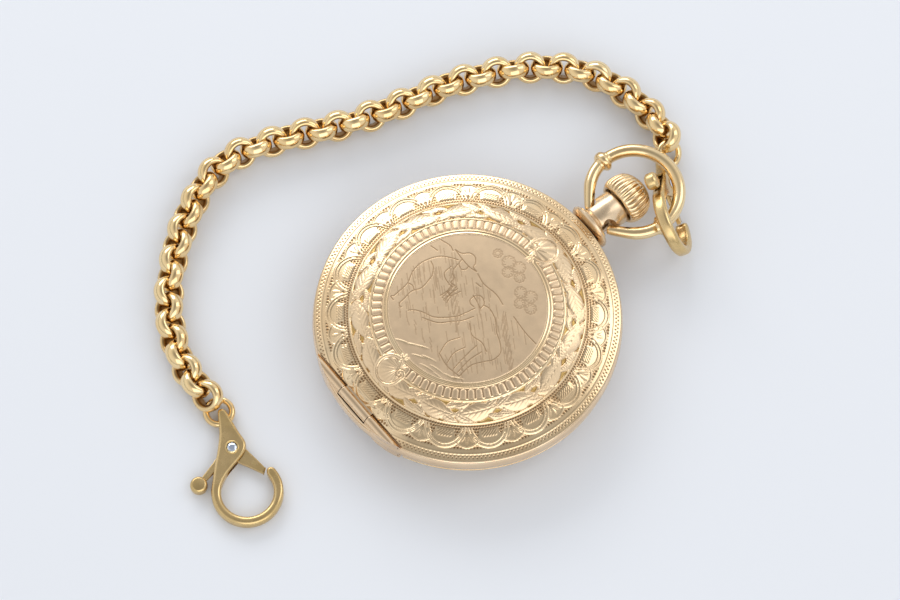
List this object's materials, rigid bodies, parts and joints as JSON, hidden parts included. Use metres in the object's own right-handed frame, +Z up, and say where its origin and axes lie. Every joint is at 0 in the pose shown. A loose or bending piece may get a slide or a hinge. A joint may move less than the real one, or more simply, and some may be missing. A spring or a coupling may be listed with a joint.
{
  "type": "hunter pocket watch",
  "caption": "Closed hunter-case pocket watch with an engraved lid, hinged covers, crown, swinging bow and full movement, on a round-link chain with a lobster clasp at each end.",
  "frame": {"origin": "centre of the flat back face that the watch lies on, on the axis of the round case", "axes": "+Z up through the closed front lid, +Y towards the pendant and crown, +X completes the right-handed frame and runs along the case's hinges"},
  "size_m": [0.0792, 0.1065, 0.013],
  "materials": {
    "pink_gold": "polished and engraved",
    "pale_gold": "satin",
    "chain_gold": "polished",
    "clasp_gold": "matte with polished edges",
    "steel": "fine ground",
    "blued_steel": "polished and blued",
    "gilt": "frosted gilt",
    "nickel": "striped nickel",
    "enamel": "glossy",
    "crystal": "clear polished",
    "stone": "faceted"
  },
  "bodies": {
    "case": {"case_band": "pink_gold", "bezel": "pink_gold", "crystal": "crystal", "pendant": "pink_gold", "front_hinge_pin": "steel", "rear_hinge_pin": "steel", "dust_hinge_pin": "steel", "lift_spring": "steel", "main_plate": "gilt", "barrel_bridge": "nickel", "train_bridge": "nickel", "balance_cock": "nickel", "pallet_bridge": "nickel", "barrel_bridge_screw_1": "blued_steel", "barrel_bridge_screw_2": "blued_steel", "train_bridge_screw_1": "blued_steel", "train_bridge_screw_2": "blued_steel", "balance_cock_screw": "blued_steel", "hairspring": "blued_steel", "dial": "enamel", "chain_run": "chain_gold", "end_ring_b": "chain_gold", "clasp_b_body": "clasp_gold", "clasp_b_pin": "clasp_gold", "clasp_b_stone": "stone"},
    "front_lid": {"front_lid": "pink_gold"},
    "rear_cover": {"rear_cover": "pink_gold"},
    "dust_cover": {"dust_cover": "pale_gold"},
    "lock": {"lock_spring": "steel"},
    "setting": {"setting_lever": "steel"},
    "crown": {"crown": "pale_gold", "winding_stem": "steel", "winding_pinion": "steel"},
    "crown_wheel": {"crown_wheel": "steel"},
    "ratchet": {"ratchet_wheel": "steel"},
    "click": {"click": "steel"},
    "bow": {"bow": "pale_gold", "end_ring_a": "chain_gold", "clasp_a_body": "clasp_gold", "clasp_a_pin": "clasp_gold", "clasp_a_stone": "stone"},
    "clasp_a_lever": {"clasp_a_lever": "clasp_gold"},
    "clasp_b_lever": {"clasp_b_lever": "clasp_gold"},
    "barrel": {"barrel": "gilt", "barrel_cover": "gilt", "mainspring": "blued_steel"},
    "centre_wheel": {"centre_wheel": "gilt"},
    "third_wheel": {"third_wheel": "gilt"},
    "seconds": {"fourth_wheel": "gilt", "seconds_hand": "blued_steel"},
    "escape_wheel": {"escape_wheel": "steel"},
    "pallet_fork": {"pallet_fork": "steel"},
    "balance": {"balance_wheel": "gilt"},
    "regulator": {"regulator": "steel"},
    "minute": {"cannon_pinion": "steel", "minute_hand": "blued_steel"},
    "minute_wheel": {"minute_wheel": "steel"},
    "hour": {"hour_wheel": "gilt", "hour_hand": "blued_steel"}
  },
  "joints": [
    {"name": "front_lid_hinge", "type": "hinge", "parent": "case", "child": "front_lid", "pos_m": [0, -0.0245, 0.00825], "axis": [1, 0, 0], "range_deg": [0, 95]},
    {"name": "rear_cover_hinge", "type": "hinge", "parent": "case", "child": "rear_cover", "pos_m": [0, -0.0245, 0.00475], "axis": [-1, 0, 0], "range_deg": [0, 95]},
    {"name": "dust_cover_hinge", "type": "hinge", "parent": "case", "child": "dust_cover", "pos_m": [0, -0.022, 0.0045], "axis": [-1, 0, 0], "range_deg": [0, 80]},
    {"name": "crown_press", "type": "slide", "parent": "case", "child": "lock", "axis": [0, -1, 0], "range_m": [0, 0.0008], "stiffness_N_per_m": 1500},
    {"name": "crown_pull", "type": "slide", "parent": "lock", "child": "setting", "axis": [0, 1, 0], "range_m": [0, 0.0008]},
    {"name": "crown_spin", "type": "hinge", "parent": "setting", "child": "crown", "pos_m": [0, 0.03, 0.0065], "axis": [0, 1, 0], "continuous": true},
    {"name": "crown_wheel_spin", "type": "hinge", "parent": "case", "child": "crown_wheel", "pos_m": [0, 0.0132, 0.0034], "axis": [0, 0, 1], "continuous": true},
    {"name": "ratchet_spin", "type": "hinge", "parent": "case", "child": "ratchet", "pos_m": [-0.0052, 0.0074, 0.0034], "axis": [0, 0, 1], "continuous": true},
    {"name": "click_pivot", "type": "hinge", "parent": "case", "child": "click", "pos_m": [-0.0126, 0.0052, 0.0034], "axis": [0, 0, 1], "range_deg": [0, 10], "stiffness_Nm_per_rad": 0.00005},
    {"name": "bow_swing", "type": "hinge", "parent": "case", "child": "bow", "pos_m": [0, 0.02905, 0.0065], "axis": [1, 0, 0], "range_deg": [-85, 85]},
    {"name": "clasp_a_lever_pivot", "type": "hinge", "parent": "bow", "child": "clasp_a_lever", "pos_m": [0.00182, 0.04293, 0.00356], "axis": [-0.395, -0.8318, -0.39], "range_deg": [0, 25], "stiffness_Nm_per_rad": 0.002},
    {"name": "clasp_b_lever_pivot", "type": "hinge", "parent": "case", "child": "clasp_b_lever", "pos_m": [-0.00906, -0.04409, 0.00115], "axis": [0, 0, -1], "range_deg": [0, 30], "stiffness_Nm_per_rad": 0.002},
    {"name": "seconds_spin", "type": "hinge", "parent": "case", "child": "seconds", "pos_m": [0.0092, 0, 0.0055], "axis": [0, 0, -1], "continuous": true},
    {"name": "third_wheel_spin", "type": "hinge", "parent": "case", "child": "third_wheel", "pos_m": [0.00487, -0.00355, 0.005], "axis": [0, 0, -1], "continuous": true},
    {"name": "centre_wheel_spin", "type": "hinge", "parent": "case", "child": "centre_wheel", "pos_m": [0, 0, 0.006], "axis": [0, 0, -1], "continuous": true},
    {"name": "barrel_spin", "type": "hinge", "parent": "case", "child": "barrel", "pos_m": [-0.0052, 0.0074, 0.0053], "axis": [0, 0, -1], "continuous": true},
    {"name": "escape_wheel_spin", "type": "hinge", "parent": "case", "child": "escape_wheel", "pos_m": [0.0096, -0.0046, 0.006], "axis": [0, 0, -1], "continuous": true},
    {"name": "pallet_fork_pivot", "type": "hinge", "parent": "case", "child": "pallet_fork", "pos_m": [0.0081, -0.0075, 0.006], "axis": [0, 0, 1], "range_deg": [-5, 5]},
    {"name": "balance_swing", "type": "hinge", "parent": "case", "child": "balance", "pos_m": [0.0051, -0.0138, 0.0054], "axis": [0, 0, 1], "range_deg": [-220, 220], "stiffness_Nm_per_rad": 0.0000025},
    {"name": "regulator_turn", "type": "hinge", "parent": "case", "child": "regulator", "pos_m": [0.0051, -0.0138, 0.0036], "axis": [0, 0, 1], "range_deg": [-15, 15]},
    {"name": "minute_spin", "type": "hinge", "parent": "case", "child": "minute", "pos_m": [0, 0, 0.0074], "axis": [0, 0, -1], "continuous": true},
    {"name": "minute_wheel_spin", "type": "hinge", "parent": "case", "child": "minute_wheel", "pos_m": [-0.0026, 0.00255, 0.0074], "axis": [0, 0, -1], "continuous": true},
    {"name": "hour_spin", "type": "hinge", "parent": "case", "child": "hour", "pos_m": [0, 0, 0.0077], "axis": [0, 0, -1], "continuous": true}
  ],
  "couplings": [
    {"joint": "dust_cover_hinge", "follows": "rear_cover_hinge", "ratio": 0.8},
    {"joint": "crown_wheel_spin", "follows": "crown_spin", "ratio": -0.5},
    {"joint": "ratchet_spin", "follows": "crown_spin", "ratio": 0.35714},
    {"joint": "third_wheel_spin", "follows": "seconds_spin", "ratio": -0.125},
    {"joint": "centre_wheel_spin", "follows": "seconds_spin", "ratio": 0.016667},
    {"joint": "barrel_spin", "follows": "seconds_spin", "ratio": -0.0020833},
    {"joint": "escape_wheel_spin", "follows": "seconds_spin", "ratio": -10},
    {"joint": "minute_wheel_spin", "follows": "minute_spin", "ratio": -0.33333},
    {"joint": "hour_spin", "follows": "minute_spin", "ratio": 0.083333}
  ]
}
